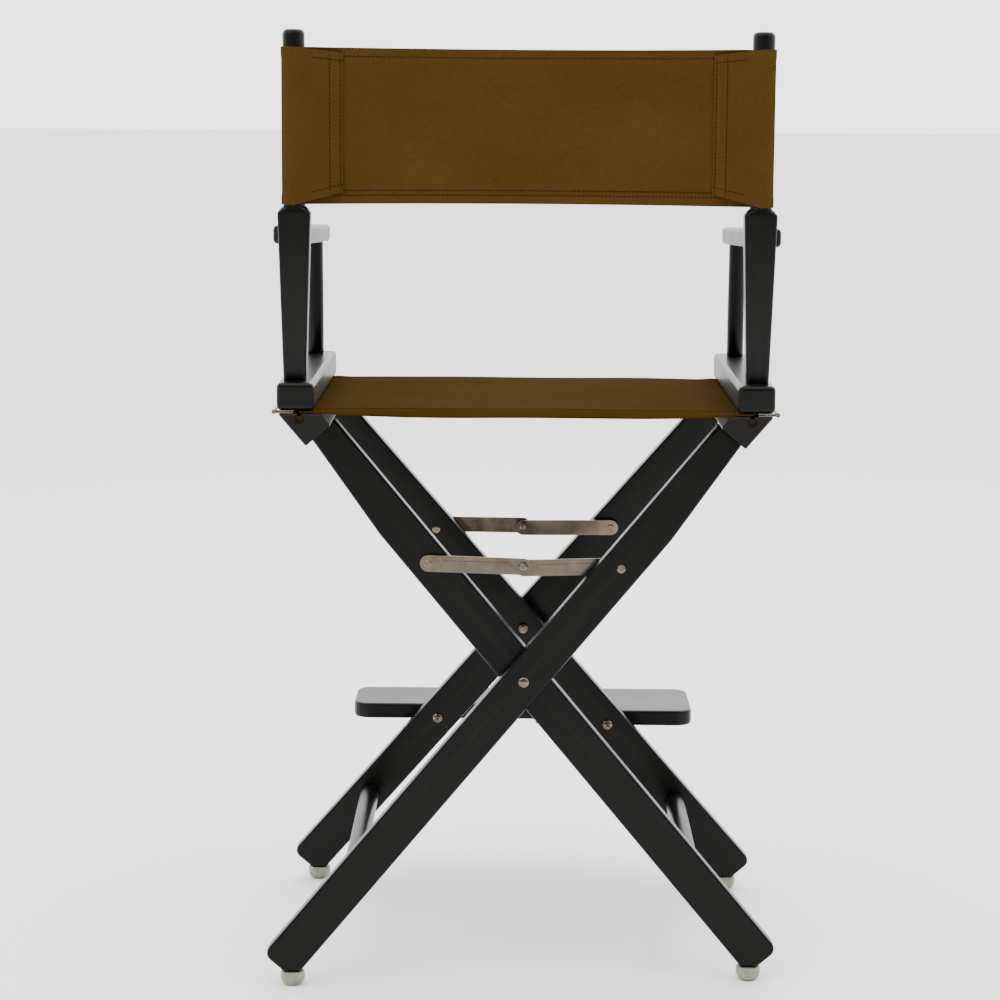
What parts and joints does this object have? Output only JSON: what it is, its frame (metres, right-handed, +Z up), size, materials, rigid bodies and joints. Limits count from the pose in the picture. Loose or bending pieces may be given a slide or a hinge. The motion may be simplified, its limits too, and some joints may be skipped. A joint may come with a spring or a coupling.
{
  "type": "folding director chair",
  "caption": "Counter-height folding director chair: crossed wooden frames, canvas seat and back, sloping armrests, folding braces and a lift-up footrest.",
  "frame": {"origin": "on the floor, under the centre of the whole chair with its footrest", "axes": "+X to the sitter's right, +Y to the chair's front, +Z up"},
  "size_m": [0.5632, 0.5056, 1.044],
  "materials": {
    "frame_wood": "satin black paint over wood grain",
    "side_wood": "satin black paint over wood grain",
    "footrest_wood": "satin black paint over wood grain",
    "steel": "bright zinc-plated steel",
    "glide_plastic": "cream nylon",
    "seat_canvas": "heavy brown cotton duck, stitched hems",
    "back_canvas": "heavy brown cotton duck, stitched hems and sleeves"
  },
  "bodies": {
    "crossing_bolts": {"rear_crossing_bolt": "steel", "rear_crossing_nut": "steel", "rear_crossing_spacer": "glide_plastic", "front_crossing_bolt": "steel", "front_crossing_nut": "steel", "front_crossing_spacer": "glide_plastic"},
    "outer_frame": {"outer_rear_leg": "frame_wood", "outer_front_leg": "frame_wood", "outer_top_rail": "frame_wood", "outer_stretcher": "frame_wood", "outer_rear_glide": "glide_plastic", "outer_front_glide": "glide_plastic", "right_seat_dowel": "frame_wood", "footrest_catch_bolt": "steel", "footrest_catch_spacer": "steel", "rear_brace_right_rivet": "steel", "front_brace_right_rivet": "steel", "right_rear_hinge_frame_leaf": "steel", "right_rear_hinge_pin": "steel", "right_front_hinge_frame_leaf": "steel", "right_front_hinge_pin": "steel"},
    "inner_frame": {"inner_rear_leg": "frame_wood", "inner_front_leg": "frame_wood", "inner_top_rail": "frame_wood", "inner_stretcher": "frame_wood", "inner_rear_glide": "glide_plastic", "inner_front_glide": "glide_plastic", "left_seat_dowel": "frame_wood", "footrest_pivot_bolt": "steel", "footrest_pivot_spacer": "steel", "rear_brace_left_rivet": "steel", "front_brace_left_rivet": "steel", "left_rear_hinge_frame_leaf": "steel", "left_rear_hinge_pin": "steel", "left_front_hinge_frame_leaf": "steel", "left_front_hinge_pin": "steel"},
    "right_side": {"right_seat_rail": "side_wood", "right_back_post": "side_wood", "right_arm_post": "side_wood", "right_armrest": "side_wood", "right_rear_hinge_rail_leaf": "steel", "right_front_hinge_rail_leaf": "steel"},
    "left_side": {"left_seat_rail": "side_wood", "left_back_post": "side_wood", "left_arm_post": "side_wood", "left_armrest": "side_wood", "left_rear_hinge_rail_leaf": "steel", "left_front_hinge_rail_leaf": "steel", "back_canvas": "back_canvas", "seat_canvas": "seat_canvas"},
    "rear_brace_right": {"rear_brace_right_link": "steel"},
    "rear_brace_left": {"rear_brace_left_link": "steel", "rear_brace_center_rivet": "steel"},
    "front_brace_right": {"front_brace_right_link": "steel"},
    "front_brace_left": {"front_brace_left_link": "steel", "front_brace_center_rivet": "steel"},
    "footrest": {"footrest_board": "footrest_wood"}
  },
  "joints": [
    {"name": "fold", "type": "hinge", "parent": "crossing_bolts", "child": "outer_frame", "pos_m": [0, -0.04232, 0.3374], "axis": [0, -1, 0], "range_deg": [0, 34.5], "deforming": ["seat_canvas", "back_canvas"]},
    {"name": "inner_fold", "type": "hinge", "parent": "crossing_bolts", "child": "inner_frame", "pos_m": [0, -0.04232, 0.3374], "axis": [0, 1, 0], "range_deg": [0, 34.5]},
    {"name": "right_side_hinge", "type": "hinge", "parent": "outer_frame", "child": "right_side", "pos_m": [0.2724, -0.04232, 0.63585], "axis": [0, 1, 0], "range_deg": [0, 34.5]},
    {"name": "left_side_hinge", "type": "hinge", "parent": "inner_frame", "child": "left_side", "pos_m": [-0.2724, -0.04232, 0.63585], "axis": [0, -1, 0], "range_deg": [0, 34.5]},
    {"name": "rear_brace_right_pivot", "type": "hinge", "parent": "outer_frame", "child": "rear_brace_right", "pos_m": [0.10564, -0.1884, 0.46153], "axis": [-0.0581, 0.996, -0.0683], "range_deg": [0, 116.57]},
    {"name": "rear_brace_left_pivot", "type": "hinge", "parent": "inner_frame", "child": "rear_brace_left", "pos_m": [-0.10564, -0.1597, 0.46153], "axis": [-0.0581, -0.996, 0.0683], "range_deg": [0, 116.57]},
    {"name": "front_brace_right_pivot", "type": "hinge", "parent": "outer_frame", "child": "front_brace_right", "pos_m": [0.10564, 0.10376, 0.46153], "axis": [0.0581, 0.996, 0.0683], "range_deg": [0, 116.57]},
    {"name": "front_brace_left_pivot", "type": "hinge", "parent": "inner_frame", "child": "front_brace_left", "pos_m": [-0.10564, 0.07506, 0.46153], "axis": [0.0581, -0.996, -0.0683], "range_deg": [0, 116.57]},
    {"name": "footrest_lift", "type": "hinge", "parent": "inner_frame", "child": "footrest", "pos_m": [0.10435, -0.04232, 0.21479], "axis": [0, 1, 0], "range_deg": [0, 62.11]}
  ],
  "couplings": [
    {"joint": "inner_fold", "follows": "fold", "ratio": 1},
    {"joint": "right_side_hinge", "follows": "fold", "ratio": 1},
    {"joint": "left_side_hinge", "follows": "fold", "ratio": 1},
    {"joint": "rear_brace_right_pivot", "follows": "fold", "ratio": 3.3786},
    {"joint": "rear_brace_left_pivot", "follows": "fold", "ratio": 3.3786},
    {"joint": "front_brace_right_pivot", "follows": "fold", "ratio": 3.3786},
    {"joint": "front_brace_left_pivot", "follows": "fold", "ratio": 3.3786},
    {"joint": "footrest_lift", "follows": "fold", "ratio": 1.8}
  ]
}
